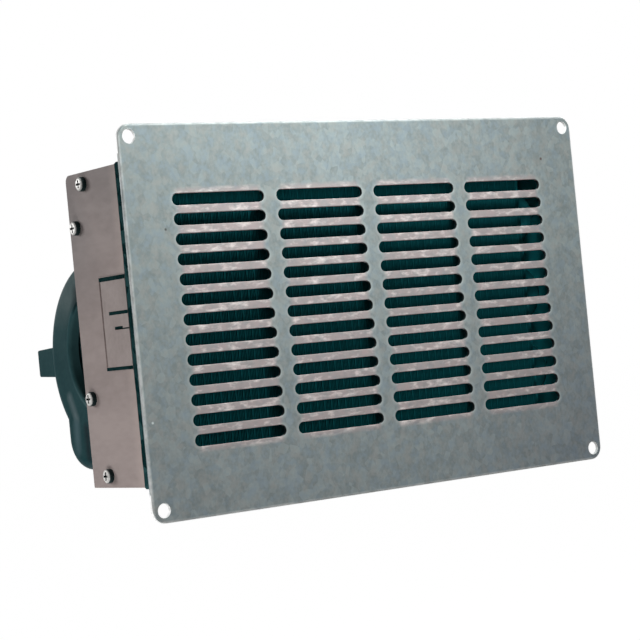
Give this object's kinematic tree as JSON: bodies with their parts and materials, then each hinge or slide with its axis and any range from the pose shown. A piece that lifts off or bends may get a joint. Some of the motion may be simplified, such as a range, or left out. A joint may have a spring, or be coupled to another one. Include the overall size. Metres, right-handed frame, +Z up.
{
  "type": "marine bulkhead heater",
  "caption": "Hot-water cabin heater with a slotted faceplate for a bulkhead, a sheet casing round a finned core and a twin centrifugal blower behind it.",
  "frame": {"origin": "centre of the four bulkhead holes, on the faceplate's rear face that seats on the bulkhead", "axes": "+X right seen from the front, +Y into the bulkhead towards the blower, +Z up"},
  "size_m": [0.33, 0.2249, 0.216],
  "materials": {
    "grained_sheet": "mottled grey sheet, satin",
    "casing_sheet": "plain grey sheet, satin",
    "zinc": "zinc plated",
    "seal_foam": "closed-cell foam",
    "label_foil": "blank printed foil",
    "core_paint": "matt black",
    "copper": "drawn copper",
    "brass": "turned brass",
    "gasket_rubber": "moulded rubber",
    "housing_plastic": "black moulding, fine grain",
    "wheel_plastic": "black moulding",
    "black_steel": "black oxide",
    "shaft_steel": "ground steel",
    "can_paint": "black paint",
    "cap_alloy": "die cast",
    "bronze": "sintered bronze",
    "ferrite": "ferrite",
    "lamination": "laminated steel",
    "enamel_copper": "enamelled wire",
    "card_board": "phenolic sheet",
    "carbon": "carbon",
    "saddle_plastic": "glass-filled moulding",
    "block_plastic": "black moulding",
    "red_lead": "insulation",
    "black_lead": "insulation"
  },
  "bodies": {
    "heater": {"faceplate": "grained_sheet", "faceplate_studs": "zinc", "stud_nuts": "zinc", "left_side_panel": "casing_sheet", "right_side_panel": "casing_sheet", "top_channel": "casing_sheet", "bottom_channel": "casing_sheet", "rear_panel": "casing_sheet", "rear_rivets": "zinc", "side_screws": "zinc", "seal_strip": "seal_foam", "rating_plate": "label_foil", "core_fins": "core_paint", "core_tubes": "core_paint", "core_return_bends": "core_paint", "left_tube_sheet": "core_paint", "right_tube_sheet": "core_paint", "core_rivets": "zinc", "inlet_pipe": "copper", "outlet_pipe": "copper", "pipe_grommets": "gasket_rubber", "hose_spigots": "brass", "left_scroll": "housing_plastic", "right_scroll": "housing_plastic", "left_inlet_cover": "housing_plastic", "right_inlet_cover": "housing_plastic", "cover_screws": "zinc", "outlet_gaskets": "gasket_rubber", "flange_screws": "zinc", "motor_can": "can_paint", "left_motor_cap": "cap_alloy", "right_motor_cap": "cap_alloy", "motor_bushes": "bronze", "field_magnets": "ferrite", "brush_card": "card_board", "motor_brushes": "carbon", "motor_saddle": "saddle_plastic", "motor_strap": "zinc", "strap_screws": "zinc", "saddle_screws": "zinc", "terminal_block": "block_plastic", "terminal_screws": "brass", "block_screws": "zinc", "positive_lead": "red_lead", "negative_lead": "black_lead"},
    "rotor": {"motor_shaft": "shaft_steel", "left_wheel": "wheel_plastic", "right_wheel": "wheel_plastic", "wheel_set_screws": "black_steel", "armature_core": "lamination", "armature_windings": "enamel_copper", "commutator": "copper"}
  },
  "joints": [
    {"name": "rotor_spin", "type": "hinge", "parent": "heater", "child": "rotor", "pos_m": [0, 0.1385, -0.0115], "axis": [1, 0, 0], "continuous": true}
  ]
}
